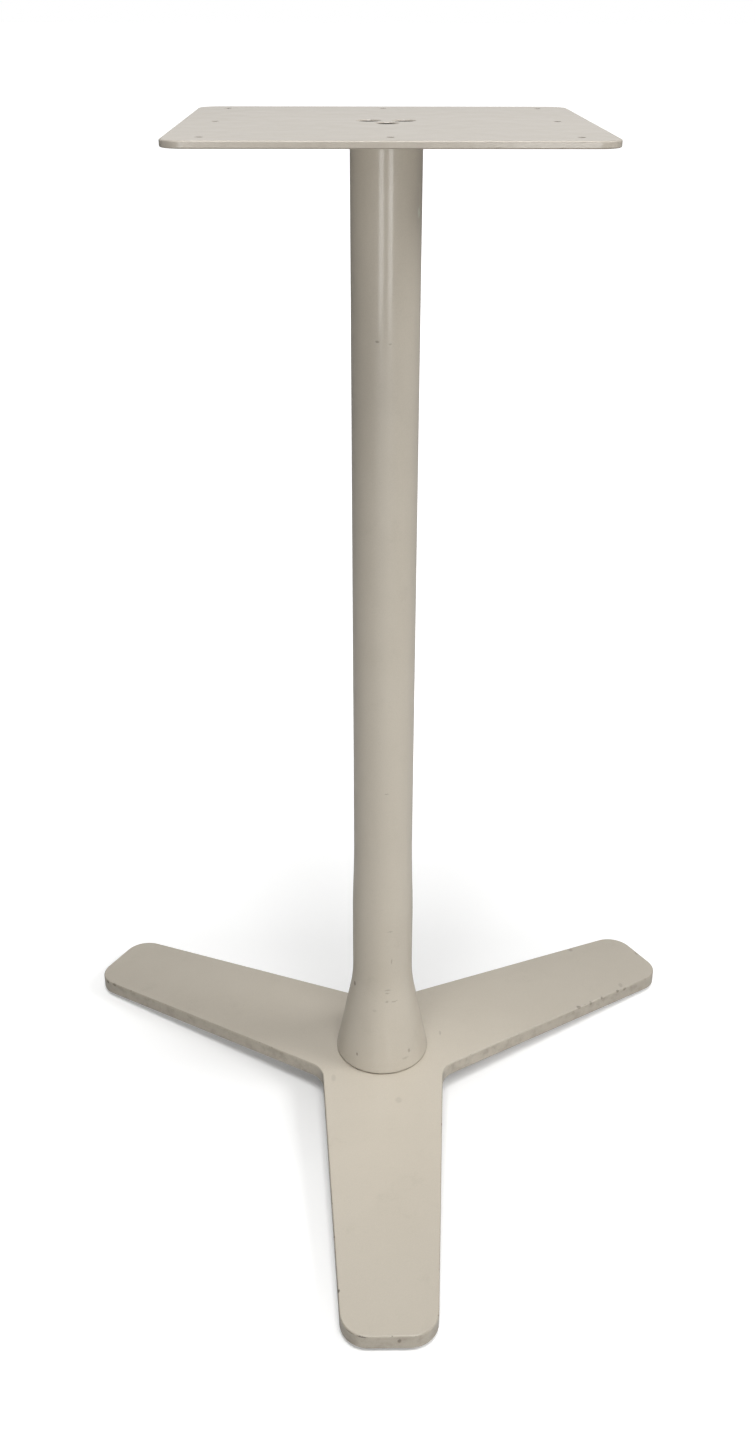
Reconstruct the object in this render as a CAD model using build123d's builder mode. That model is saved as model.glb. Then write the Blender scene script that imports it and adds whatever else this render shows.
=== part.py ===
"""Pedestal stand: a square mounting plate on a round column with a flared lower end, standing
on a three-arm foot with levelling glides.  Millimetres, +Z up, front towards -Y.
The origin is on the floor, in the middle of the footprint box; the column axis stands at
(0, axis_y)."""
from build123d import *
from math import atan, cos, degrees, radians, sin, tan
import os

os.makedirs("parts", exist_ok=True)

# ---------------------------------------------------------------- driving dimensions
stand_height = 1075.0

plate_side = 360.0
plate_thickness = 6.0
plate_corner_radius = 20.0
plate_edge_radius = 1.2
table_hole_pitch = 300.0
table_hole_diameter = 6.5
corner_hole_rows = 2
side_hole_count = 4

tube_diameter = 65.0
tube_wall = 2.5
tube_lower_diameter = 69.0
tube_swell_top = 330.0
tube_swell_bottom = 235.0
tube_swell_radius = 1500.0
cone_wall = 4.0
cone_top = 160.0
cone_bend_height = 149.0
cone_bend_radius = 90.0
cone_base_diameter = 108.0
cone_rim_radius = 3.0
shadow_gap = 0.3

arm_count = 3
front_angle = -90.0
arm_reach = 405.0
arm_root_half_width = 74.5
arm_tip_half_width = 47.6
arm_tip_corner_radius = 29.0
arm_inner_corner_radius = 30.0
arm_fall = 2.9
arm_bend_distance = 50.0
arm_bend_radius = 400.0
foot_thickness = 17.5
foot_edge_radius = 1.5
foot_bore_diameter = 40.2
tip_clearance = 4.0

head_plug_height = 18.0
head_plug_bore = 14.0
head_plug_chamfer = 1.0
head_screw_circle = 36.0
base_disc_thickness = 14.0
base_screw_circle = 58.0
spigot_diameter = 40.0
spigot_length = 9.0
weld_gap = 0.15

screw_count = 3
screw_diameter = 10.0
screw_clearance_hole = 11.0
countersink_diameter = 22.0
countersink_angle = 90.0
head_sink = 0.8
head_diameter = 20.2
head_screw_length = 23.0
socket_width = 6.0
socket_depth = 3.6
hex_head_width = 16.0
hex_head_end_diameter = 15.2
hex_head_height = 6.4
base_screw_length = 34.0
washer_diameter = 20.0
washer_thickness = 2.0
lock_washer_diameter = 18.0
lock_washer_bore = 10.4
lock_washer_thickness = 2.2
lock_washer_split = 2.0

glide_distance = 360.0
glide_recess_diameter = 34.0
glide_recess_top = 9.9
glide_stud_diameter = 8.0
glide_stud_top = 19.5
glide_bore_top = 20.5
glide_collar_width = 13.0
glide_collar_bottom = 6.6
glide_collar_top = 9.6
glide_cup_diameter = 30.0
glide_cup_bottom = 1.5
glide_cup_top = 6.5
glide_cup_edge = 0.8
glide_sole_diameter = 27.0
rivet_shank_diameter = 6.0
rivet_head_diameter = 9.0
rivet_head_height = 1.1
rivet_chamber_diameter = 10.0
rivet_chamber_top = 3.5
end_play = 0.1
running_clearance = 0.05
thread_chamfer = 0.8

# ---------------------------------------------------------------- margins used while drawing
profile_overlap = 1.0
pick_margin = 0.1
nearly_vertical = 0.9

# ---------------------------------------------------------------- sizes worked out from them
arm_spacing = 360 / arm_count
rear_arm_angle = radians(front_angle + arm_spacing)
arm_taper = degrees(atan((arm_root_half_width - arm_tip_half_width) / arm_reach))
tip_centre_along = arm_reach - arm_tip_corner_radius
tip_centre_across = (
    arm_root_half_width
    - tip_centre_along * tan(radians(arm_taper))
    - arm_tip_corner_radius / cos(radians(arm_taper))
)
back_reach = (
    tip_centre_along * sin(rear_arm_angle)
    + tip_centre_across * cos(rear_arm_angle)
    + arm_tip_corner_radius
)
axis_y = (arm_reach - back_reach) / 2

tip_top = tip_clearance + foot_thickness
hub_top = tip_top + (arm_reach - arm_bend_distance) * tan(radians(arm_fall))
hub_bottom = hub_top - foot_thickness
plate_bottom = stand_height - plate_thickness
tube_radius = tube_diameter / 2
tube_bore_radius = tube_radius - tube_wall
cone_bottom = hub_top + shadow_gap
cone_base_radius = cone_base_diameter / 2
tube_lower_radius = tube_lower_diameter / 2
cone_slope = (cone_base_radius - tube_lower_radius) / (cone_bend_height - cone_bottom)
cone_wall_across = cone_wall / cos(atan(cone_slope))
base_disc_top = hub_top + base_disc_thickness
lock_washer_top = hub_bottom - washer_thickness
hex_head_top = lock_washer_top - lock_washer_thickness
head_screw_top = stand_height - head_sink
arm_names = ["front", "right", "left"]


def level(height):
    """Horizontal plane at a height above the floor, centred on the column axis."""
    return Plane((0, axis_y, height))


def arm_angle(index):
    """Direction of one arm, in degrees from +X: front, then right, then left."""
    return front_angle + index * arm_spacing


def on_arm(index, distance, height):
    """Horizontal plane on the centre line of one arm, x axis along the arm."""
    return Plane(level(height).location * Rot(0, 0, arm_angle(index)) * Pos(distance, 0, 0))


def boundary_edges(faces):
    """Edges that belong to only one of these faces."""
    edges = [edge for face in faces for edge in face.edges()]
    return ShapeList(edge for edge in edges if sum(edge.is_same(other) for other in edges) == 1)


def keep(builder, name):
    """Label a finished piece and write it to its own file."""
    builder.part.label = name
    export_step(builder.part, f"parts/{name}.step")


section_plane = Plane((0, axis_y, 0), x_dir=(1, 0, 0), z_dir=(0, -1, 0))
side_plane = Plane((0, axis_y, 0), x_dir=(0, -1, 0), z_dir=(-1, 0, 0))

# ---------------------------------------------------------------- foot
# One third of the foot: the star outline inside a 120 degree wedge, between the two parallel
# curves of an arm seen from the side.
with BuildPart() as foot_third:
    with BuildSketch(level(0)) as star:
        with PolarLocations(0, arm_count, start_angle=front_angle):
            Polygon(
                (0, -arm_root_half_width),
                (arm_reach, -arm_tip_half_width),
                (arm_reach, arm_tip_half_width),
                (0, arm_root_half_width),
                align=None,
            )
        inner_corners = star.vertices().sort_by_distance(level(0).origin)[:arm_count]
        fillet(inner_corners, radius=arm_inner_corner_radius)
        tip_corners = star.vertices().sort_by_distance(level(0).origin)[-2 * arm_count:]
        fillet(tip_corners, radius=arm_tip_corner_radius)
        wedge_width = 2 * arm_reach * sin(radians(arm_spacing / 2))
        wedge_depth = 2 * arm_reach * cos(radians(arm_spacing / 2))
        Polygon(
            (0, 0),
            (-wedge_width, -wedge_depth),
            (wedge_width, -wedge_depth),
            align=None,
            mode=Mode.INTERSECT,
        )
    extrude(amount=hub_top)
    with BuildSketch(side_plane):
        bend_start = arm_bend_distance - arm_bend_radius * tan(radians(arm_fall / 2))
        with BuildLine():
            top_flat = Line((-profile_overlap, hub_top), (bend_start, hub_top))
            top_bend = JernArc(top_flat @ 1, (1, 0), arm_bend_radius, -arm_fall)
            top_fall = PolarLine(top_bend @ 1, arm_reach, direction=top_bend % 1)
            under_flat = Line((-profile_overlap, hub_bottom), (bend_start, hub_bottom))
            under_radius = arm_bend_radius - foot_thickness
            under_bend = JernArc(under_flat @ 1, (1, 0), under_radius, -arm_fall)
            under_fall = PolarLine(under_bend @ 1, arm_reach, direction=under_bend % 1)
            Line(top_flat @ 0, under_flat @ 0)
            Line(top_fall @ 1, under_fall @ 1)
        make_face()
    extrude(amount=arm_reach, both=True, mode=Mode.INTERSECT)

with BuildPart() as foot:
    with Locations(level(0).origin):
        with PolarLocations(0, arm_count):
            add(foot_third.part.moved(Pos(0, -axis_y, 0)))
    tops = foot.faces().filter_by(lambda face: face.normal_at().Z > nearly_vertical)
    fillet(boundary_edges(tops), radius=foot_edge_radius)
    undersides = foot.faces().filter_by(lambda face: face.normal_at().Z < -nearly_vertical)
    fillet(boundary_edges(undersides), radius=foot_edge_radius)
    with BuildSketch(level(0)):
        Circle(foot_bore_diameter / 2)
        with PolarLocations(base_screw_circle / 2, screw_count, start_angle=front_angle):
            Circle(screw_clearance_hole / 2)
    extrude(amount=hub_top, mode=Mode.SUBTRACT)
    with BuildSketch(level(0)):
        with PolarLocations(glide_distance, arm_count, start_angle=front_angle):
            Circle(glide_recess_diameter / 2)
    extrude(amount=glide_recess_top, mode=Mode.SUBTRACT)
    with BuildSketch(level(0)):
        with PolarLocations(glide_distance, arm_count, start_angle=front_angle):
            Circle(glide_stud_diameter / 2 + running_clearance)
    extrude(amount=glide_bore_top, mode=Mode.SUBTRACT)
keep(foot, "foot")

# ---------------------------------------------------------------- column
with BuildPart() as column_tube:
    with BuildSketch(section_plane) as tube_section:
        with BuildLine():
            Polyline(
                (tube_radius, plate_bottom),
                (tube_radius, tube_swell_top),
                (tube_lower_radius, tube_swell_bottom),
                (tube_lower_radius, cone_top),
                (tube_lower_radius - tube_wall, cone_top),
                (tube_lower_radius - tube_wall, tube_swell_bottom),
                (tube_bore_radius, tube_swell_top),
                (tube_bore_radius, plate_bottom),
                close=True,
            )
        make_face()
        swell_corners = tube_section.vertices().filter_by_position(
            Axis.Z, tube_swell_bottom - pick_margin, tube_swell_top + pick_margin
        )
        fillet(swell_corners, radius=tube_swell_radius)
    revolve(axis=Axis(level(0).origin, (0, 0, 1)))
keep(column_tube, "column_tube")

with BuildPart() as column_cone:
    with BuildSketch(section_plane) as cone_section:
        with BuildLine():
            Polyline(
                (tube_lower_radius, cone_top),
                (tube_lower_radius, cone_bend_height),
                (cone_base_radius, cone_bottom),
                (cone_base_radius - cone_wall_across, cone_bottom),
                (tube_lower_radius - cone_wall_across, cone_bend_height),
                (tube_lower_radius - tube_wall, cone_top),
                close=True,
            )
        make_face()
    revolve(axis=Axis(level(0).origin, (0, 0, 1)))
    bend_ring = column_cone.edges().filter_by_position(
        Axis.Z, cone_bend_height - pick_margin, cone_bend_height + pick_margin
    )
    fillet(bend_ring.sort_by(SortBy.RADIUS)[-1], radius=cone_bend_radius)
    rim = column_cone.edges().group_by(Axis.Z)[0].sort_by(SortBy.RADIUS)[-1]
    fillet(rim, radius=cone_rim_radius)
keep(column_cone, "column_cone")

# Turned plug welded into the top of the tube, tapped for the three plate screws.
with BuildPart() as head_plug:
    with BuildSketch(level(plate_bottom)):
        Circle(tube_bore_radius - weld_gap)
        Circle(head_plug_bore / 2, mode=Mode.SUBTRACT)
        with PolarLocations(head_screw_circle / 2, screw_count, start_angle=front_angle):
            Circle(screw_diameter / 2 + running_clearance, mode=Mode.SUBTRACT)
    extrude(amount=-head_plug_height)
    plug_rims = head_plug.edges().filter_by(GeomType.CIRCLE).sort_by(SortBy.RADIUS)[-2:]
    chamfer(plug_rims, length=head_plug_chamfer)
keep(head_plug, "head_plug")

# Disc welded inside the wide end of the cone; its spigot centres the column in the foot.
with BuildPart() as base_disc:
    with BuildSketch(section_plane):
        inner_radius = cone_base_radius - cone_wall_across - weld_gap
        with BuildLine():
            Polyline(
                (0, hub_top - spigot_length),
                (spigot_diameter / 2, hub_top - spigot_length),
                (spigot_diameter / 2, hub_top),
                (inner_radius, hub_top),
                (inner_radius, cone_bottom),
                (inner_radius - cone_slope * (base_disc_top - cone_bottom), base_disc_top),
                (0, base_disc_top),
                close=True,
            )
        make_face()
    revolve(axis=Axis(level(0).origin, (0, 0, 1)))
    with BuildSketch(level(hub_top)):
        with PolarLocations(base_screw_circle / 2, screw_count, start_angle=front_angle):
            Circle(screw_diameter / 2 + running_clearance)
    extrude(amount=base_disc_thickness, mode=Mode.SUBTRACT)
keep(base_disc, "base_disc")

# ---------------------------------------------------------------- top plate
with BuildPart() as top_plate:
    with BuildSketch(level(plate_bottom)):
        RectangleRounded(plate_side, plate_side, plate_corner_radius)
        with GridLocations(table_hole_pitch, table_hole_pitch, corner_hole_rows, corner_hole_rows):
            Circle(table_hole_diameter / 2, mode=Mode.SUBTRACT)
        with PolarLocations(table_hole_pitch / 2, side_hole_count):
            Circle(table_hole_diameter / 2, mode=Mode.SUBTRACT)
    extrude(amount=plate_thickness)
    with Locations(level(stand_height)):
        with PolarLocations(head_screw_circle / 2, screw_count, start_angle=front_angle):
            CounterSinkHole(
                radius=screw_clearance_hole / 2,
                counter_sink_radius=countersink_diameter / 2,
                counter_sink_angle=countersink_angle,
            )
    rims = [top_plate.faces().sort_by(Axis.Z)[place].outer_wire().edges() for place in (0, -1)]
    fillet(rims[0] + rims[1], radius=plate_edge_radius)
keep(top_plate, "top_plate")


# ---------------------------------------------------------------- screws and washers
def head_screw(index):
    """Countersunk socket screw that holds the top plate to the head plug."""
    with BuildPart() as screw:
        with BuildSketch(on_arm(index, head_screw_circle / 2, head_screw_top)):
            Circle(screw_diameter / 2)
        extrude(amount=-head_screw_length)
        chamfer(screw.edges().sort_by(Axis.Z)[0], length=thread_chamfer)
        cone_height = (head_diameter - screw_diameter) / 2
        with Locations(on_arm(index, head_screw_circle / 2, head_screw_top - cone_height)):
            Cone(
                screw_diameter / 2,
                head_diameter / 2,
                cone_height,
                align=(Align.CENTER, Align.CENTER, Align.MIN),
            )
        with BuildSketch(on_arm(index, head_screw_circle / 2, head_screw_top)):
            RegularPolygon(socket_width / 2, 6, major_radius=False)
        extrude(amount=-socket_depth, mode=Mode.SUBTRACT)
    return screw


def base_screw(index):
    """Hexagon screw driven up through the foot into the base disc."""
    with BuildPart() as screw:
        with BuildSketch(on_arm(index, base_screw_circle / 2, hex_head_top)):
            RegularPolygon(hex_head_width / 2, 6, major_radius=False)
        extrude(amount=-hex_head_height)
        head_bottom = hex_head_top - hex_head_height
        with Locations(on_arm(index, base_screw_circle / 2, head_bottom)):
            Cone(
                hex_head_end_diameter / 2,
                hex_head_end_diameter / 2 + 2 * hex_head_height,
                hex_head_height,
                align=(Align.CENTER, Align.CENTER, Align.MIN),
                mode=Mode.INTERSECT,
            )
        with BuildSketch(on_arm(index, base_screw_circle / 2, hex_head_top)):
            Circle(screw_diameter / 2)
        extrude(amount=base_screw_length)
        chamfer(screw.edges().sort_by(Axis.Z)[-1], length=thread_chamfer)
    return screw


def plain_washer(index):
    """Flat washer against the underside of the foot."""
    with BuildPart() as washer:
        with BuildSketch(on_arm(index, base_screw_circle / 2, hub_bottom)):
            Circle(washer_diameter / 2)
            Circle(lock_washer_bore / 2, mode=Mode.SUBTRACT)
        extrude(amount=-washer_thickness)
    return washer


def lock_washer(index):
    """Split spring washer, drawn flat, between the screw head and the flat washer."""
    with BuildPart() as washer:
        with BuildSketch(on_arm(index, base_screw_circle / 2, lock_washer_top)):
            Circle(lock_washer_diameter / 2)
            Circle(lock_washer_bore / 2, mode=Mode.SUBTRACT)
            with Locations((lock_washer_diameter / 2, 0)):
                Rectangle(lock_washer_diameter, lock_washer_split, mode=Mode.SUBTRACT)
        extrude(amount=-lock_washer_thickness)
    return washer


# ---------------------------------------------------------------- levelling glides
def glide_stud(index):
    """Threaded stud with a hexagon collar, riveted into its cup so that it can turn."""
    with BuildPart() as stud:
        rivet_head_top = rivet_chamber_top - end_play
        rivet_head_bottom = rivet_head_top - rivet_head_height
        with BuildSketch(on_arm(index, glide_distance, rivet_head_bottom)):
            Circle(rivet_head_diameter / 2)
        extrude(amount=rivet_head_height)
        with BuildSketch(on_arm(index, glide_distance, rivet_head_bottom)):
            Circle(rivet_shank_diameter / 2)
        extrude(amount=glide_collar_bottom - rivet_head_bottom)
        with BuildSketch(on_arm(index, glide_distance, glide_collar_bottom)):
            RegularPolygon(glide_collar_width / 2, 6, major_radius=False)
        extrude(amount=glide_collar_top - glide_collar_bottom)
        with BuildSketch(on_arm(index, glide_distance, glide_collar_top)):
            Circle(glide_stud_diameter / 2)
        extrude(amount=glide_stud_top - glide_collar_top)
        chamfer(stud.edges().sort_by(Axis.Z)[-1], length=thread_chamfer)
    return stud


def glide_cup(index):
    """Moulded cup that the riveted stud turns in."""
    with BuildPart() as cup:
        with BuildSketch(on_arm(index, glide_distance, glide_cup_bottom)):
            Circle(glide_cup_diameter / 2)
        extrude(amount=glide_cup_top - glide_cup_bottom)
        fillet(cup.edges().group_by(Axis.Z)[-1], radius=glide_cup_edge)
        with BuildSketch(on_arm(index, glide_distance, glide_cup_bottom)):
            Circle(rivet_chamber_diameter / 2)
        extrude(amount=rivet_chamber_top - glide_cup_bottom, mode=Mode.SUBTRACT)
        with BuildSketch(on_arm(index, glide_distance, glide_cup_bottom)):
            Circle(rivet_shank_diameter / 2 + running_clearance)
        extrude(amount=glide_cup_top - glide_cup_bottom, mode=Mode.SUBTRACT)
    return cup


def glide_sole(index):
    """Felt disc glued under the cup; it rests on the floor."""
    with BuildPart() as sole:
        with BuildSketch(on_arm(index, glide_distance, 0)):
            Circle(glide_sole_diameter / 2)
        extrude(amount=glide_cup_bottom)
    return sole


repeated_pieces = {
    "head_screw": head_screw,
    "base_screw": base_screw,
    "plain_washer": plain_washer,
    "lock_washer": lock_washer,
    "glide_stud": glide_stud,
    "glide_cup": glide_cup,
    "glide_sole": glide_sole,
}
for piece_name, make_piece in repeated_pieces.items():
    for arm_index, arm_name in enumerate(arm_names):
        keep(make_piece(arm_index), f"{piece_name}_{arm_name}")
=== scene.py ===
"""Looks for the pedestal base: powder-coated steel with light wear, screws and levelling glides.
Metres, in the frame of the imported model: +Z up, front towards -Y, the floor at z = 0."""
from math import atan2, cos, degrees, pi, radians, sin, tan
from typing import NamedTuple

import bmesh
import bpy
from mathutils import Matrix, Vector


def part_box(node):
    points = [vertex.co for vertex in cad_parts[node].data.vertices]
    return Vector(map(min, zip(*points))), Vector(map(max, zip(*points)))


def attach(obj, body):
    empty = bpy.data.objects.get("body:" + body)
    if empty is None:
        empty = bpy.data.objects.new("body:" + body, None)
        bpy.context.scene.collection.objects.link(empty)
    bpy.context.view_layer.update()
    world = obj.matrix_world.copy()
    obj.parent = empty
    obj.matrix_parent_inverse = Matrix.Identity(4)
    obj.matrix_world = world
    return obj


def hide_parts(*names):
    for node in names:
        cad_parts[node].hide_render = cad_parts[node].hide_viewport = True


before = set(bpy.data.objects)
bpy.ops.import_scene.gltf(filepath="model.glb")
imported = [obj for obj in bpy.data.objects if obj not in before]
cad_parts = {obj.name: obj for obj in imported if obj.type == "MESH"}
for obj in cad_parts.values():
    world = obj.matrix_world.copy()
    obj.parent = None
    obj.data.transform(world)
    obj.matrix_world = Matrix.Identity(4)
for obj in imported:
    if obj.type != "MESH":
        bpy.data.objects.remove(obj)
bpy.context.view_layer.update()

MM = 0.001
ARMS = {"front": -90, "right": 30, "left": 150}  # direction of each arm, degrees from +X


def middle(node):
    """Centre of a CAD node's box."""
    low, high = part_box(node)
    return (low + high) / 2


# ------------------------------------------------------------------ places read from the frame
axis_x, axis_y = middle("column_tube").xy
tube_low, tube_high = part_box("column_tube")
cone_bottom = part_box("column_cone")[0].z

# ------------------------------------------------------------------ sizes that the column skin repeats
TUBE_RADIUS = 32.5 * MM
TUBE_WALL = 2.5 * MM
TUBE_ROUNDING = 0.4 * MM
LOWER_RADIUS = (tube_high.x - tube_low.x) / 2
SWELL_TOP = 330 * MM
SWELL_BOTTOM = 235 * MM
CONE_WALL = 4 * MM
CONE_BASE_RADIUS = 54 * MM
RIM_ROUNDING = 3 * MM
BEND_HEIGHT = 149 * MM
BEND_RADIUS = 190 * MM
WALL_CHANGE = 10 * MM
SUPPORT = 2 * MM  # from a rounding to the ring that keeps the long wall beside it evenly shaded

# ------------------------------------------------------------------ camera, fitted to the photograph
CAMERA_DISTANCE = 1.3377  # metres from the column axis
CAMERA_HEIGHT = 1.1768
CAMERA_AZIMUTH = -0.0224  # radians, like the three turns below
CAMERA_YAW = -0.0175
CAMERA_PITCH = 0.4820
CAMERA_ROLL = 0.0026
CAMERA_LENS = 34.87  # millimetres, like the sensor
SENSOR = 36

# ------------------------------------------------------------------ light
WORLD_SIDES = (((0, 1, 0), 0.59), ((1, 0, 0), 0.10))  # sides that shine, and how strongly
BACKDROP = 1.0  # the surroundings as the camera itself sees them
CEILING_PLACE, CEILING_SIZE, CEILING_WATTS = (0, -1.6, 6.0), (3.0, 3.0), 288
RIGHT_PLACE, RIGHT_SIZE, RIGHT_WATTS, RIGHT_TARGET_HEIGHT = (4.5, -1.0, 4.0), (2.5, 2.0), 155, 0.3
KEY_DISTANCE, KEY_ANGLE, KEY_HEIGHT, KEY_TARGET_HEIGHT = 2.6, -91, 1.9, 0.55
KEY_SIZE, KEY_WATTS = (1.2, 0.8), 8
STRIP_ANGLES = {"strip_left": -106.2, "strip_right": -76.4}
STRIP_DISTANCE, STRIP_HEIGHT, STRIP_SIZE, STRIP_WATTS = 3.4, 0.7, (0.85, 0.9), 20.5

# ------------------------------------------------------------------ colours, linear
COAT_COLOUR = (0.482, 0.439, 0.369)
COAT_SHADE = (0.412, 0.370, 0.302)
# Painted reflection: makes the plate brighter and bluer to stand in for the reflection on its top.
PLATE_REFLECTION_TINT = (1.03, 1.035, 1.07)
# Grime, and the colour of painted shade on edges, sides and undersides.
GRIME_AND_SHADE_COLOUR = (0.200, 0.170, 0.130)
# Scuffs, and the colour of two patches of painted shade on the foot's front tip.
SCUFF_AND_SHADE_COLOUR = (0.105, 0.085, 0.070)
CHIP_COLOUR = (0.060, 0.052, 0.045)
PALE_COLOUR = (0.60, 0.62, 0.53)
BLACK_OXIDE, BLACK_STAIN = (0.020, 0.019, 0.018), (0.055, 0.045, 0.036)
ZINC, ZINC_STAIN = (0.62, 0.63, 0.64), (0.40, 0.385, 0.34)
STEEL, STEEL_STAIN = (0.42, 0.41, 0.40), (0.24, 0.21, 0.18)
PLASTIC, PLASTIC_DUST = (0.035, 0.035, 0.036), (0.16, 0.15, 0.135)
FELT_DARK, FELT_LIGHT, FELT_CLUMP = (0.055, 0.050, 0.046), (0.17, 0.155, 0.14), (0.24, 0.22, 0.19)
FLOOR_DARK, FLOOR_LIGHT = (0.83, 0.83, 0.825), (0.86, 0.86, 0.855)
FLOOR_BOUNCE = (0.47, 0.465, 0.455)  # the floor as every ray but the camera's meets it

# Where a surface counts as an edge or a side. The number is how far its normal leans up or down:
# 0 on an upright side, 1 on a flat top, and below zero where it faces down.
EDGE_STARTS, EDGE_ENDS = (0.15, 0.45), (0.985, 0.90)
SIDE_ENDS = (0.35, 0.10)
UNDER_STARTS, UNDER_ENDS = (-0.10, -0.35), (-0.985, -0.90)


# ------------------------------------------------------------------ small helpers for node trees
class Tree:
    """A material's node tree, with short calls for the nodes that this script uses."""

    def __init__(self, name):
        self.material = bpy.data.materials.new(name)
        self.material.use_nodes = True
        self.nodes = self.material.node_tree.nodes
        self.links = self.material.node_tree.links
        self.shader = self.nodes["Principled BSDF"]
        self.place = self.add("ShaderNodeTexCoord").outputs["Object"]
        self.normal = self.add("ShaderNodeNewGeometry").outputs["Normal"]

    def add(self, kind, inputs=None, **settings):
        """New node with its settings and inputs; an input is a value or another node's output."""
        node = self.nodes.new(kind)
        for key, value in settings.items():
            setattr(node, key, value)
        for key, value in (inputs or {}).items():
            self.feed(node.inputs[key], value)
        return node

    def feed(self, socket, value):
        """Links an output to a socket, or sets the socket's own value."""
        if isinstance(value, bpy.types.NodeSocket):
            self.links.new(value, socket)
        else:
            socket.default_value = value

    def set(self, **values):
        """Sets sockets of the Principled shader; underscores stand for spaces."""
        for key, value in values.items():
            self.feed(self.shader.inputs[key.replace("_", " ")], value)

    def noise(self, scale, detail=2.0, roughness=0.5, stretch=None):
        """Noise from 0 to 1 in object space, scale per metre; stretch squeezes it along an axis."""
        place = self.vector("MULTIPLY", self.place, stretch) if stretch else self.place
        inputs = {"Vector": place, "Scale": scale, "Detail": detail, "Roughness": roughness}
        return self.add("ShaderNodeTexNoise", inputs).outputs["Fac"]

    def vector(self, operation, first, second=(0, 0, 0)):
        """Vector arithmetic; gives a number for a length and a vector otherwise."""
        node = self.add("ShaderNodeVectorMath", operation=operation)
        self.feed(node.inputs[0], first)
        if operation == "LENGTH":
            return node.outputs["Value"]
        self.feed(node.inputs[1], second)
        return node.outputs["Vector"]

    def math(self, operation, first, second=0.0):
        """Arithmetic on one or two numbers."""
        node = self.add("ShaderNodeMath", operation=operation)
        self.feed(node.inputs[0], first)
        self.feed(node.inputs[1], second)
        return node.outputs["Value"]

    def ramp(self, value, start, end, low=0.0, high=1.0, smooth=True):
        """Maps start..end of a value to low..high, clamped."""
        inputs = {"Value": value, "From Min": start, "From Max": end, "To Min": low, "To Max": high}
        kind = "SMOOTHSTEP" if smooth else "LINEAR"
        return self.add("ShaderNodeMapRange", inputs, interpolation_type=kind).outputs["Result"]

    def blend(self, factor, first, second, mode="MIX"):
        """Mixes two colours; a tuple is a plain colour."""
        node = self.add("ShaderNodeMix", data_type="RGBA", blend_type=mode)
        colour = [s for s in node.inputs if s.type == "RGBA"]
        self.feed(node.inputs["Factor"], factor)
        for socket, value in zip(colour, (first, second)):
            self.feed(socket, (*value, 1.0) if isinstance(value, tuple) else value)
        return [s for s in node.outputs if s.type == "RGBA"][0]

    def shade(self, colour, brightness):
        """Multiplies a colour by a number."""
        inputs = {"Red": brightness, "Green": brightness, "Blue": brightness}
        grey = self.add("ShaderNodeCombineColor", inputs).outputs["Color"]
        return self.blend(1.0, colour, grey, "MULTIPLY")

    def bump(self, height, strength, distance, after=None):
        """Normal of a relief, on top of an earlier one where that is given."""
        inputs = {"Height": height, "Strength": strength, "Distance": distance}
        if after:
            inputs["Normal"] = after
        return self.add("ShaderNodeBump", inputs).outputs["Normal"]

    def spots(self, marks):
        """Mask of small ragged marks; each is a centre, three half sizes in mm and a strength."""
        ragged = self.add("ShaderNodeTexNoise", {"Vector": self.place, "Scale": 700.0, "Detail": 3.0})
        noise_middle, raggedness = 0.5, 2.4 * MM
        shift = self.vector("SUBTRACT", ragged.outputs["Color"], (noise_middle,) * 3)
        wobble = self.vector("MULTIPLY", shift, (raggedness,) * 3)
        place = self.vector("ADD", self.place, wobble)
        total = 0.0
        for centre, sizes, strength in marks:
            offset = self.vector("SUBTRACT", place, tuple(centre))
            scaled = self.vector("DIVIDE", offset, tuple(size * MM for size in sizes))
            reach = self.vector("LENGTH", scaled)
            mask = self.ramp(reach, start=1.25, end=0.55, high=strength)
            total = self.math("MAXIMUM", total, mask)
        return total


# ------------------------------------------------------------------ where a mark lies
def on_column(height, angle, radius):
    """Point on the column's surface: height and radius in mm, angle in degrees from +X."""
    turn = radians(angle)
    return Vector((axis_x + radius * MM * cos(turn), axis_y + radius * MM * sin(turn), height * MM))


def on_arm(arm, along, across, height):
    """Point on an arm: mm along and across its centre line, and above the floor."""
    turn = radians(ARMS[arm])
    ahead = Vector((cos(turn), sin(turn), 0)) * along * MM
    aside = Vector((-sin(turn), cos(turn), 0)) * across * MM
    return Vector((axis_x, axis_y, height * MM)) + ahead + aside


# Each mark is a centre, three half sizes in mm along X, Y and Z, and a strength.
COLUMN_MARKS = [
    (on_column(891, -104.6, 32.5), (2.2, 3, 0.9), 0.44),
    (on_column(889, -83.6, 32.5), (1.8, 3, 0.8), 0.28),
    (on_column(411, -85.0, 32.5), (2.4, 3, 0.8), 0.28),
    (on_column(231, -77.0, 34.5), (4.0, 3, 0.8), 0.28),
    (on_column(189, -73.6, 34.5), (0.7, 3, 4.0), 0.32),
    (on_column(144, -156.0, 35.5), (2.0, 2.5, 3.0), 0.72),
    (on_column(149, -81.2, 34.8), (4.0, 3, 1.1), 0.28),
    (on_column(145, -82.3, 35.4), (2.6, 3, 1.1), 0.28),
    (on_column(134, -82.7, 37.3), (2.2, 3, 1.6), 0.28),
    (on_column(133, -68.8, 37.5), (4.5, 3, 0.9), 0.28),
    (on_column(122, -104.3, 39.5), (2.6, 3, 1.6), 0.14),
    (on_column(60, -126.7, 51.0), (0.9, 2, 2.4), 0.60),
    (on_column(64, -52.0, 50.3), (1.6, 2, 3.0), 0.36),
    (on_column(56.6, -59.0, 51.7), (5.0, 4, 1.6), 0.18),
]
PALE_COLUMN_MARKS = [
    (on_column(1001, -27.0, 32.5), (1.6, 2.4, 5.0), 0.75),
]
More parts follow.
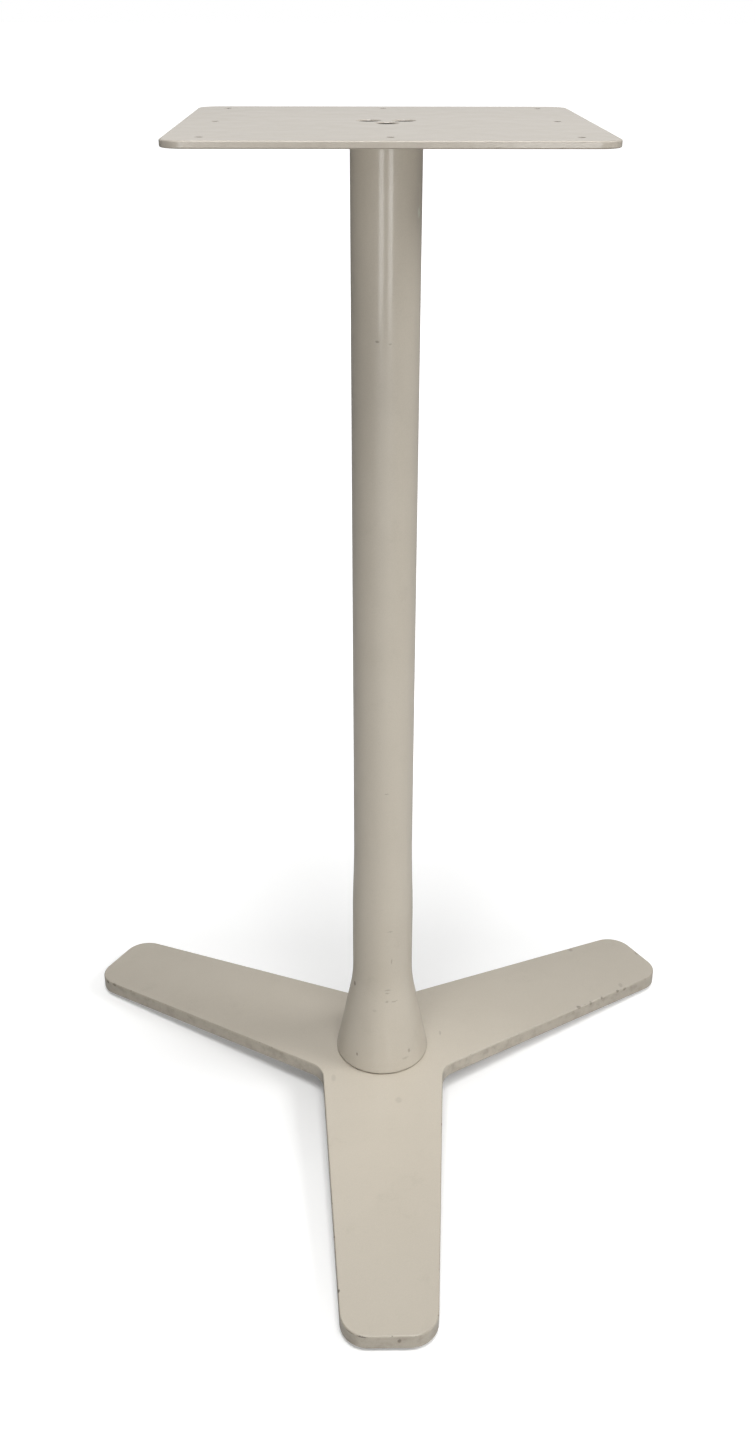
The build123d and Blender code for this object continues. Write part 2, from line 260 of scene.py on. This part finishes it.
FOOT_MARKS = [
    (on_arm("right", 73, -17.4, 38.3), (1.2, 4.5, 3), 0.28),
    (on_arm("front", 94.7, 17.3, 37.2), (4.0, 5.0, 3), 0.14),
    (on_arm("front", 58.4, -58.4, 39.0), (3.0, 6.0, 3), 0.14),
    (on_arm("front", 352.5, -50.3, 24.0), (1.6, 2.4, 2.6), 0.95),
    (on_arm("front", 405, 9.2, 15.1), (2.1, 3.0, 2.6), 0.80),
    (on_arm("front", 404, -27.0, 20.2), (6.5, 2.2, 0.9), 0.95),
    # The next two are soft patches of painted shade low on the front tip's corners, not scuffs.
    (on_arm("front", 392, -42.0, 11.0), (13.0, 14.0, 8.0), 0.24),
    (on_arm("front", 389, 45.0, 11.0), (9.0, 12.0, 8.0), 0.20),
    (on_arm("front", 397, -38.0, 20.2), (7.0, 5.0, 1.0), 0.55),
    (on_arm("right", 337, -45.0, 24.9), (3.0, 5.0, 3), 0.22),
    (on_arm("right", 338, -52.0, 22.7), (2.8, 3.0, 2.0), 0.60),
    (on_arm("right", 326, -52.6, 24.8), (2.6, 2.2, 2.0), 0.70),
    (on_arm("right", 298, -54.5, 26.2), (2.0, 2.0, 1.8), 0.70),
    (on_arm("right", 279, -55.0, 25.8), (2.6, 2.4, 3.0), 0.55),
    (on_arm("right", 259, -56.2, 28.5), (3.4, 2.6, 2.0), 0.60),
    (on_arm("right", 327, 48.2, 25.4), (3.0, 3.0, 2.0), 0.30),
    (on_arm("right", 403.5, 1.0, 21.6), (3.0, 4.0, 2.0), 0.30),
    (on_arm("left", 385, 48.0, 20.4), (3.6, 3.0, 1.8), 0.90),
    (on_arm("left", 373, 49.7, 21.4), (4.0, 3.0, 1.8), 0.70),
]


# ------------------------------------------------------------------ materials
class EdgeWearAndShade(NamedTuple):
    """Wear and painted shade of a flat coated part, each a share from 0 to 1."""
    chips: float
    # Darkening of the edges: grime together with painted shade over their highlights.
    edge_grime_and_shade: float
    # Darkening of faces that face down: painted shade.
    painted_shade_below: float
    # Darkening of the upright sides, least and most: rubbed mottling together with painted shade.
    least_rub_and_shade: float
    most_rub_and_shade: float


# Foot: painted shade over edge highlights and on its sides; plate: painted shade under its lower edge as
# well.
FOOT_WEAR_AND_SHADE = EdgeWearAndShade(chips=0.75, edge_grime_and_shade=0.36, painted_shade_below=0.0, least_rub_and_shade=0.20, most_rub_and_shade=0.55)
PLATE_WEAR_AND_SHADE = EdgeWearAndShade(chips=0.06, edge_grime_and_shade=0.20, painted_shade_below=0.60, least_rub_and_shade=0.25, most_rub_and_shade=0.34)


def wear_and_shade_on_edges(tree, colour, wear_and_shade):
    """Chipped edges, grime and painted shade on edges and sides, painted shade below; also the chips'
    mask.
    """
    upward = tree.add("ShaderNodeSeparateXYZ", {"Vector": tree.normal}).outputs["Z"]
    lean = tree.math("ABSOLUTE", upward)
    edge = tree.math("MULTIPLY", tree.ramp(lean, *EDGE_STARTS), tree.ramp(lean, *EDGE_ENDS))
    flakes = tree.noise(120.0, detail=5.0, roughness=0.7)
    chips = tree.math("MULTIPLY", edge, tree.ramp(flakes, 0.60, 0.67, high=wear_and_shade.chips))
    colour = tree.blend(chips, colour, CHIP_COLOUR)
    patches = tree.noise(75.0, detail=6.0, roughness=0.7)
    patches = tree.ramp(patches, 0.40, 0.70, wear_and_shade.least_rub_and_shade, wear_and_shade.most_rub_and_shade)
    # Upright sides darkened: rubbed mottling together with painted shade.
    rubbed_and_shaded = tree.math("MULTIPLY", tree.ramp(lean, *SIDE_ENDS), patches)
    colour = tree.blend(rubbed_and_shaded, colour, GRIME_AND_SHADE_COLOUR)
    # Edges darkened by grime together with painted shade over their highlights.
    above = tree.math("MULTIPLY", edge, wear_and_shade.edge_grime_and_shade)
    # Faces that face down darkened: painted shade.
    below = tree.ramp(upward, *UNDER_STARTS, high=wear_and_shade.painted_shade_below)
    below = tree.math("MULTIPLY", below, tree.ramp(upward, *UNDER_ENDS))
    colour = tree.blend(tree.math("MAXIMUM", above, below), colour, GRIME_AND_SHADE_COLOUR)
    return colour, chips


def powder_coat(name, marks=(), pale_marks=(), wear_and_shade=None, tint=(1.0, 1.0, 1.0), painted_hub_light=False):
    """Satin grey-beige powder coat: orange peel, uneven tone, grime, dark and pale marks.

    Worn edges come with painted shade on edges, sides and undersides; a tint shifts the whole colour; and
    painted light and shade can make the foot lighter beside the column and darker at the ends of the
    arms.
    """
    tree = Tree(name)
    tone = tree.noise(5.0, detail=4.0, roughness=0.6)
    colour = tree.blend(tree.ramp(tone, 0.35, 0.75, high=0.35), COAT_COLOUR, COAT_SHADE)
    colour = tree.shade(colour, tree.ramp(tree.noise(950.0), 0.3, 0.7, low=0.975, high=1.025))
    haze = tree.noise(22.0, detail=7.0, roughness=0.72)
    colour = tree.blend(tree.ramp(haze, 0.56, 0.80, high=0.16), colour, GRIME_AND_SHADE_COLOUR)
    pepper = tree.noise(260.0, detail=3.0, roughness=0.6)
    colour = tree.blend(tree.ramp(pepper, 0.755, 0.80, high=0.35), colour, GRIME_AND_SHADE_COLOUR)
    colour = tree.blend(1.0, colour, tint, "MULTIPLY")
    # Painted light and shade: lighter beside the column, darker towards the ends of the arms.
    if painted_hub_light:
        reach = tree.vector("LENGTH", tree.vector("SUBTRACT", tree.place, (axis_x, axis_y, 0)))
        colour = tree.shade(colour, tree.ramp(reach, 60 * MM, 400 * MM, low=1.115, high=0.93))
    if pale_marks:
        colour = tree.blend(tree.spots(pale_marks), colour, PALE_COLOUR)
    # Dark marks: scuffs, and on the foot's tip two patches of painted shade.
    scuffs_and_shade = tree.spots(marks)
    colour = tree.blend(scuffs_and_shade, colour, SCUFF_AND_SHADE_COLOUR)
    if wear_and_shade:
        colour, chips = wear_and_shade_on_edges(tree, colour, wear_and_shade)
        scuffs_and_shade = tree.math("MAXIMUM", scuffs_and_shade, chips)
    gloss = tree.ramp(tree.noise(40.0, detail=5.0, roughness=0.6), 0.3, 0.7, low=0.36, high=0.46)
    gloss = tree.math("ADD", gloss, tree.math("MULTIPLY", scuffs_and_shade, 0.25))
    orange_peel = tree.noise(430.0, detail=1.5, roughness=0.45)
    relief = tree.bump(orange_peel, strength=0.10, distance=0.25 * MM)
    dents = tree.math("MULTIPLY", scuffs_and_shade, -1.0)
    relief = tree.bump(dents, strength=0.6, distance=0.12 * MM, after=relief)
    tree.set(Base_Color=colour, Roughness=gloss, Normal=relief)
    tree.set(Specular_IOR_Level=0.32, Coat_Weight=0.40, Coat_Roughness=0.14)
    return tree.material


def metal(name, tint, stain, roughness, scratch_scale, scratch_stretch, metallic=1.0, specular=0.5):
    """Metal, bare or blackened, with fine scratches, stains and an uneven sheen."""
    tree = Tree(name)
    scratches = tree.noise(scratch_scale, detail=4.0, roughness=0.65, stretch=scratch_stretch)
    stains = tree.noise(140.0, detail=5.0, roughness=0.6)
    colour = tree.blend(tree.ramp(stains, 0.42, 0.70, high=0.55), tint, stain)
    gloss = tree.ramp(scratches, 0.3, 0.7, low=roughness - 0.08, high=roughness + 0.10)
    tree.set(Base_Color=colour, Roughness=gloss, Metallic=metallic, Specular_IOR_Level=specular)
    tree.set(Normal=tree.bump(scratches, strength=0.25, distance=0.08 * MM))
    return tree.material


def moulded_plastic(name):
    """Dark moulded plastic with a fine spark-eroded grain and patches of dust."""
    tree = Tree(name)
    grain = tree.noise(1900.0, detail=3.0, roughness=0.6)
    dust = tree.ramp(tree.noise(160.0, detail=6.0, roughness=0.7), 0.50, 0.75, high=0.35)
    gloss = tree.ramp(grain, 0.3, 0.7, low=0.48, high=0.62)
    tree.set(Base_Color=tree.blend(dust, PLASTIC, PLASTIC_DUST), Roughness=gloss)
    tree.set(Normal=tree.bump(grain, strength=0.35, distance=0.06 * MM))
    return tree.material


def felt(name):
    """Pressed felt: matted fibres in mixed greys, with a soft sheen."""
    tree = Tree(name)
    fibres = tree.noise(2600.0, detail=6.0, roughness=0.75, stretch=(1, 1, 0.25))
    clumps = tree.noise(520.0, detail=4.0, roughness=0.7)
    colour = tree.blend(tree.ramp(fibres, 0.35, 0.65), FELT_DARK, FELT_LIGHT)
    colour = tree.blend(tree.ramp(clumps, 0.45, 0.70, high=0.5), colour, FELT_CLUMP)
    tree.set(Base_Color=colour, Roughness=0.97, Sheen_Weight=0.3)
    tree.set(Normal=tree.bump(fibres, strength=0.8, distance=0.25 * MM))
    return tree.material


def pale_floor(name):
    """Barely mottled floor: pale and faintly glowing for the camera, plain and darker for other rays."""
    tree = Tree(name)
    seen = tree.add("ShaderNodeLightPath").outputs["Is Camera Ray"]
    mottle = tree.noise(3.0, detail=5.0, roughness=0.6)
    colour = tree.blend(seen, FLOOR_BOUNCE, tree.blend(mottle, FLOOR_DARK, FLOOR_LIGHT))
    tree.set(Base_Color=colour, Roughness=tree.ramp(mottle, 0.2, 0.8, low=0.55, high=0.65))
    distance = tree.vector("LENGTH", tree.place)
    near_glow = tree.ramp(distance, 0.1, 0.9, low=0.12, high=0.45, smooth=False)
    far_glow = tree.ramp(distance, 1.6, 5.0, high=0.55, smooth=False)
    glow = tree.math("MULTIPLY", tree.math("ADD", near_glow, far_glow), seen)
    tree.set(Emission_Strength=glow, Emission_Color=(1, 1, 1, 1))
    return tree.material


# ------------------------------------------------------------------ meshes made of rings
SHARP_ANGLE = radians(35)  # a sharper bend keeps a crisp edge, a softer one is shaded smooth


def ring_mesh(name, material, rings, place, closed=False):
    """Mesh through rings of equal point counts; open ends are closed with a fan."""
    mesh = bmesh.new()
    rows = [[mesh.verts.new(point) for point in ring] for ring in rings]
    pairs = list(zip(rows, rows[1:]))
    if closed:
        pairs.append((rows[-1], rows[0]))
    for lower, upper in pairs:
        count = len(lower)
        for i in range(count):
            j = (i + 1) % count
            mesh.faces.new((lower[i], lower[j], upper[j], upper[i]))
    if not closed:
        for row in (rows[0], rows[-1]):
            hub = mesh.verts.new(sum((v.co for v in row), Vector()) / len(row))
            for i in range(len(row)):
                mesh.faces.new((row[i], row[(i + 1) % len(row)], hub))
    bmesh.ops.recalc_face_normals(mesh, faces=mesh.faces)
    data = bpy.data.meshes.new(name)
    mesh.to_mesh(data)
    mesh.free()
    data.polygons.foreach_set("use_smooth", [True] * len(data.polygons))
    data.set_sharp_from_angle(angle=SHARP_ANGLE)
    data.materials.append(material)
    data.transform(Matrix.Translation(place))
    piece = bpy.data.objects.new(name, data)
    even = piece.modifiers.new("even_normals", "WEIGHTED_NORMAL")
    even.keep_sharp = True
    bpy.context.scene.collection.objects.link(piece)
    return piece


def turned(profile, segments, shape=None):
    """Rings of a turned form; profile holds (radius, height), shape may change a ring's radius."""
    rings = []
    for index, (radius, height) in enumerate(profile):
        ring = []
        for step in range(segments):
            angle = 2 * pi * step / segments
            r = shape(index, radius, angle) if shape else radius
            ring.append(Vector((r * cos(angle), r * sin(angle), height)))
        rings.append(ring)
    return rings


def hexagon(apothem, angle):
    """Distance from the centre to a hexagon's side in one direction."""
    return apothem / cos((angle + pi / 6) % (pi / 3) - pi / 6)


def arc(centre, radius, start, end, steps):
    """Points on an arc, angles in degrees."""
    angles = [radians(start + (end - start) * i / steps) for i in range(steps + 1)]
    return [(centre[0] + radius * cos(a), centre[1] + radius * sin(a)) for a in angles]


def floor_point(node):
    """Point on the floor under the middle of a node."""
    place = middle(node)
    place.z = 0
    return place


# ------------------------------------------------------------------ column
def column_profile():
    """Outer outline of the column from the cone's rim to the plate, radius and height."""
    slope = (CONE_BASE_RADIUS - LOWER_RADIUS) / (BEND_HEIGHT - cone_bottom)
    lean = atan2(slope, 1)
    rim_reach = RIM_ROUNDING / tan((pi / 2 + lean) / 2)
    rim_centre = (CONE_BASE_RADIUS - rim_reach, cone_bottom + RIM_ROUNDING)
    outline = arc(rim_centre, RIM_ROUNDING, start=-90, end=degrees(lean), steps=8)
    rim_radius, rim_height = outline[-1]
    outline.append((rim_radius - SUPPORT * slope, rim_height + SUPPORT))
    bend_centre = (LOWER_RADIUS + BEND_RADIUS, BEND_HEIGHT + BEND_RADIUS * tan(lean / 2))
    outline += arc(bend_centre, BEND_RADIUS, start=180 + degrees(lean), end=180, steps=12)
    swell_steps = 24
    for i in range(swell_steps + 1):
        t = i / swell_steps
        ease = t * t * (3 - 2 * t)
        height = SWELL_BOTTOM + (SWELL_TOP - SWELL_BOTTOM) * t
        outline.append((LOWER_RADIUS + (TUBE_RADIUS - LOWER_RADIUS) * ease, height))
    outline.append((TUBE_RADIUS, tube_high.z - SUPPORT))
    top_centre = (TUBE_RADIUS - TUBE_ROUNDING, tube_high.z - TUBE_ROUNDING)
    outline += arc(top_centre, TUBE_ROUNDING, start=0, end=90, steps=3)
    return outline


def make_column(material):
    """One seamless coated skin over the tube and the cone, which are welded and ground flush."""
    outside = column_profile()
    inside = [
        (TUBE_RADIUS - TUBE_WALL, tube_high.z),
        (TUBE_RADIUS - TUBE_WALL, SWELL_TOP),
        (LOWER_RADIUS - TUBE_WALL, SWELL_BOTTOM),
        (LOWER_RADIUS - TUBE_WALL, BEND_HEIGHT + WALL_CHANGE),
        (LOWER_RADIUS - CONE_WALL, BEND_HEIGHT),
        (CONE_BASE_RADIUS - CONE_WALL, cone_bottom),
    ]
    rings = turned(outside + inside, segments=144)
    piece = ring_mesh("column_skin", material, rings, (axis_x, axis_y, 0), closed=True)
    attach(piece, "stand")
    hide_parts("column_tube", "column_cone")


# ------------------------------------------------------------------ plate screws
def make_head_screw(arm, material):
    """Countersunk socket screw: rounded head edge, chamfered hexagon socket, plain shank."""
    node = f"head_screw_{arm}"
    low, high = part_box(node)
    head = (high.x - low.x) / 2
    length = high.z - low.z
    shank, socket = 5 * MM, 3 * MM
    socket_depth, drill_tip, socket_bevel = 3.6 * MM, 0.9 * MM, 0.35 * MM
    edge, end_bevel = 0.35 * MM, 0.8 * MM
    countersink = head - shank
    profile = [
        (socket * 0.45, -socket_depth - drill_tip),
        (socket * 0.98, -socket_depth),
        (socket, -socket_bevel),
        (socket * 1.16, 0),
        (head - 2 * edge, 0),
        (head - 0.8 * edge, -0.25 * edge),
        (head, -edge),
        (shank, -countersink - edge),
        (shank, -length + end_bevel),
        (shank - end_bevel, -length),
    ]
    socket_rings = (1, 2)

    def socket_shape(index, radius, angle):
        return hexagon(radius, angle) if index in socket_rings else radius

    rings = turned(profile, segments=72, shape=socket_shape)
    place = middle(node)
    place.z = high.z
    piece = ring_mesh(f"{node}_detail", material, rings, place)
    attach(piece, "stand")
    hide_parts(node)


# ------------------------------------------------------------------ levelling glides
def make_stud(arm, material):
    """Glide stud with a rolled thread, a chamfered hexagon collar and a riveted end."""
    node = f"glide_stud_{arm}"
    low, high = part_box(node)
    shank, core, pitch = 4 * MM, 3.45 * MM, 1.25 * MM
    rivet_head, rivet_top, rivet_bevel, neck = 4.5 * MM, low.z + 1.1 * MM, 0.3 * MM, 3 * MM
    collar, collar_low, collar_high, collar_bevel = 6.5 * MM, 6.6 * MM, 9.6 * MM, 0.45 * MM
    run_out, end_bevel, rings_per_pitch = 0.6 * MM, 0.8 * MM, 10
    thread_low = collar_high + run_out
    thread_high = high.z - end_bevel
    rows = int((thread_high - thread_low) / (pitch / rings_per_pitch))
    profile = [
        (rivet_head * 0.85, low.z),
        (rivet_head, low.z + rivet_bevel),
        (rivet_head, rivet_top),
        (neck, rivet_top),
        (neck, collar_low),
        (collar * 0.97, collar_low),
        (collar, collar_low + collar_bevel),
        (collar, collar_high - collar_bevel),
        (collar * 0.97, collar_high),
        (core, collar_high),
    ]
    collar_rings, collar_middle = range(5, 9), (6, 7)
    first_turn = len(profile)
    for row in range(rows + 1):
        profile.append((shank, thread_low + (thread_high - thread_low) * row / rows))
    profile.append((core * 0.9, high.z))
    last_turn = first_turn + rows

    def stud_shape(index, radius, angle):
        if index in collar_rings:
            round_limit = collar * (1.10 if index in collar_middle else 1.02)
            return min(hexagon(radius, angle), round_limit)
        if first_turn <= index <= last_turn:
            phase = (profile[index][1] / pitch - angle / (2 * pi)) % 1.0
            return core + (shank - core) * (1 - abs(2 * phase - 1)) ** 0.8
        return radius

    rings = turned(profile, segments=60, shape=stud_shape)
    piece = ring_mesh(f"{node}_detail", material, rings, floor_point(node))
    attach(piece, f"stud_{arm}")
    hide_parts(node)


def make_cup(arm, material):
    """Moulded glide cup with a fluted rim, hollow below for the rivet."""
    node = f"glide_cup_{arm}"
    low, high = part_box(node)
    outer = (high.x - low.x) / 2
    shank, chamber, chamber_top = 3.05 * MM, 5 * MM, 3.5 * MM
    bevel, foot_bevel, groove = 0.8 * MM, 0.5 * MM, 0.35 * MM
    flute_depth, flutes = 0.35 * MM, 24
    profile = [
        (shank, high.z),
        (outer * 0.52, high.z),
        (outer * 0.58, high.z - groove),
        (outer * 0.72, high.z - groove),
        (outer * 0.78, high.z),
        *arc((outer - bevel, high.z - bevel), bevel, start=90, end=0, steps=4),
        (outer, low.z + foot_bevel),
        (outer - foot_bevel, low.z),
        (chamber, low.z),
        (chamber, chamber_top),
        (shank, chamber_top),
    ]
    fluted_rings = range(8, 11)

    def cup_shape(index, radius, angle):
        if index in fluted_rings:
            return radius - flute_depth * max(0.0, sin(flutes * angle))
        return radius

    rings = turned(profile, segments=192, shape=cup_shape)
    piece = ring_mesh(f"{node}_detail", material, rings, floor_point(node), closed=True)
    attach(piece, f"pad_{arm}")
    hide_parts(node)


def make_sole(arm, material):
    """Felt disc with a soft, slightly uneven edge."""
    node = f"glide_sole_{arm}"
    low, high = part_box(node)
    outer = (high.x - low.x) / 2
    fray, fray_inset = 0.10 * MM, 0.2 * MM
    profile = [
        (outer * 0.5, low.z),
        (outer - 0.7 * MM, low.z),
        (outer - 0.2 * MM, low.z + 0.25 * MM),
        (outer, low.z + 0.75 * MM),
        (outer - 0.2 * MM, high.z - 0.25 * MM),
        (outer - 0.6 * MM, high.z),
        (outer * 0.5, high.z),
    ]
    frayed_rings = range(1, 6)

    def frayed(index, radius, angle):
        wave = sin(7 * angle) + 0.6 * sin(17 * angle + index) + 0.5 * sin(31 * angle)
        return radius + fray * wave - fray_inset if index in frayed_rings else radius

    rings = turned(profile, segments=144, shape=frayed)
    piece = ring_mesh(f"{node}_detail", material, rings, floor_point(node))
    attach(piece, f"pad_{arm}")
    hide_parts(node)


# ------------------------------------------------------------------ stage
def make_floor():
    """Large pale floor under the glides."""
    half_side, cells = 60, 12
    mesh = bmesh.new()
    bmesh.ops.create_grid(mesh, x_segments=cells, y_segments=cells, size=half_side)
    data = bpy.data.meshes.new("floor")
    mesh.to_mesh(data)
    mesh.free()
    data.materials.append(pale_floor("pale_floor"))
    floor = bpy.data.objects.new("floor", data)
    bpy.context.scene.collection.objects.link(floor)


def on_axis(height):
    """Point on the column axis."""
    return (axis_x, axis_y, height)


def around_column(distance, angle, height):
    """Point at a distance from the column axis, angle in degrees from +X."""
    turn = radians(angle)
    return (axis_x + distance * cos(turn), axis_y + distance * sin(turn), height)


def area_light(name, place, target, size, watts):
    """Rectangular light at a place, facing a target; the camera doesn't see the lamp itself."""
    data = bpy.data.lights.new(name, "AREA")
    data.shape = "RECTANGLE"
    data.size, data.size_y = size
    data.energy = watts
    light = bpy.data.objects.new(name, data)
    light.location = place
    aim = Vector(target) - Vector(place)
    light.rotation_euler = aim.to_track_quat("-Z", "Y").to_euler()
    light.visible_camera = False
    bpy.context.scene.collection.objects.link(light)


def make_lights():
    """Soft ceiling light, a key from the right, a faint one from the front, and two upright
    softboxes behind the camera, which make the twin highlight on the column."""
    area_light("ceiling", CEILING_PLACE, (0, 0, 0), CEILING_SIZE, CEILING_WATTS)
    area_light("far_right", RIGHT_PLACE, on_axis(RIGHT_TARGET_HEIGHT), RIGHT_SIZE, RIGHT_WATTS)
    key_place = around_column(KEY_DISTANCE, KEY_ANGLE, KEY_HEIGHT)
    area_light("key_front", key_place, on_axis(KEY_TARGET_HEIGHT), KEY_SIZE, KEY_WATTS)
    for name, angle in STRIP_ANGLES.items():
        place = around_column(STRIP_DISTANCE, angle, STRIP_HEIGHT)
        area_light(name, place, on_axis(STRIP_HEIGHT), STRIP_SIZE, STRIP_WATTS)


def make_world():
    """Soft surroundings, brightest behind and to the right; the camera itself sees a plain backdrop."""
    world = bpy.data.worlds.new("studio")
    bpy.context.scene.world = world
    world.use_nodes = True
    nodes, links = world.node_tree.nodes, world.node_tree.links
    direction = nodes.new("ShaderNodeTexCoord").outputs["Generated"]
    total = None
    for side, strength in WORLD_SIDES:
        facing = nodes.new("ShaderNodeVectorMath")
        facing.operation = "DOT_PRODUCT"
        links.new(direction, facing.inputs[0])
        facing.inputs[1].default_value = side
        part = nodes.new("ShaderNodeMath")
        part.operation = "MULTIPLY"
        links.new(facing.outputs["Value"], part.inputs[0])
        part.inputs[1].default_value = strength
        part.use_clamp = True
        if total is None:
            total = part.outputs["Value"]
            continue
        add = nodes.new("ShaderNodeMath")
        links.new(total, add.inputs[0])
        links.new(part.outputs["Value"], add.inputs[1])
        total = add.outputs["Value"]
    ray = nodes.new("ShaderNodeLightPath").outputs["Is Camera Ray"]
    seen = nodes.new("ShaderNodeMix")
    links.new(ray, seen.inputs["Factor"])
    links.new(total, seen.inputs["A"])
    seen.inputs["B"].default_value = BACKDROP
    links.new(seen.outputs["Result"], nodes["Background"].inputs["Strength"])
    nodes["Background"].inputs["Color"].default_value = (1, 1, 1, 1)


def make_camera():
    """Camera at the photograph's viewing angle."""
    data = bpy.data.cameras.new("camera")
    data.lens = CAMERA_LENS
    data.sensor_width = SENSOR
    data.sensor_fit = "AUTO"
    camera = bpy.data.objects.new("camera", data)
    ahead = Vector((-sin(CAMERA_YAW), cos(CAMERA_YAW), 0))
    side = Vector((cos(CAMERA_YAW), sin(CAMERA_YAW), 0))
    rise = Vector((0, 0, 1))
    look = cos(CAMERA_PITCH) * ahead - sin(CAMERA_PITCH) * rise
    up = sin(CAMERA_PITCH) * ahead + cos(CAMERA_PITCH) * rise
    right = cos(CAMERA_ROLL) * side + sin(CAMERA_ROLL) * up
    top = -sin(CAMERA_ROLL) * side + cos(CAMERA_ROLL) * up
    x = axis_x + CAMERA_DISTANCE * sin(CAMERA_AZIMUTH)
    y = axis_y - CAMERA_DISTANCE * cos(CAMERA_AZIMUTH)
    turn = Matrix((right, top, -look)).transposed().to_4x4()
    camera.matrix_world = Matrix.Translation((x, y, CAMERA_HEIGHT)) @ turn
    bpy.context.scene.collection.objects.link(camera)
    bpy.context.scene.camera = camera


def dress(nodes, material):
    """Gives CAD nodes that keep their own shape a better material."""
    for name in nodes:
        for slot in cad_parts[name].material_slots:
            slot.material = material


# ------------------------------------------------------------------ the object
coat_column = powder_coat("coat_column", COLUMN_MARKS, PALE_COLUMN_MARKS)
# The foot's coat carries painted light and shade: lighter near the column, shaded edges and sides.
coat_foot = powder_coat("coat_foot", FOOT_MARKS, wear_and_shade=FOOT_WEAR_AND_SHADE, painted_hub_light=True)
# The plate's tint is painted reflection.
coat_plate = powder_coat("coat_plate", wear_and_shade=PLATE_WEAR_AND_SHADE, tint=PLATE_REFLECTION_TINT)
black = metal("black_oxide", BLACK_OXIDE, BLACK_STAIN, roughness=0.52, scratch_scale=900.0,
              scratch_stretch=(1, 1, 1), metallic=0.0, specular=0.0)
zinc = metal("zinc_plate", ZINC, ZINC_STAIN, roughness=0.32, scratch_scale=700.0,
             scratch_stretch=(1, 1, 6))
bare = metal("turned_steel", STEEL, STEEL_STAIN, roughness=0.36, scratch_scale=600.0,
             scratch_stretch=(1, 1, 8))
nylon = moulded_plastic("glide_plastic")
wool = felt("glide_felt")

make_column(coat_column)
dress(["top_plate"], coat_plate)
dress(["foot"], coat_foot)
dress(["head_plug", "base_disc"], bare)
for arm_name in ARMS:
    make_head_screw(arm_name, black)
    make_stud(arm_name, zinc)
    make_cup(arm_name, nylon)
    make_sole(arm_name, wool)
    dress([f"{kind}_{arm_name}" for kind in ("base_screw", "lock_washer", "plain_washer")], zinc)

make_floor()
make_world()
make_lights()
make_camera()
bpy.context.scene.view_settings.view_transform = "Standard"
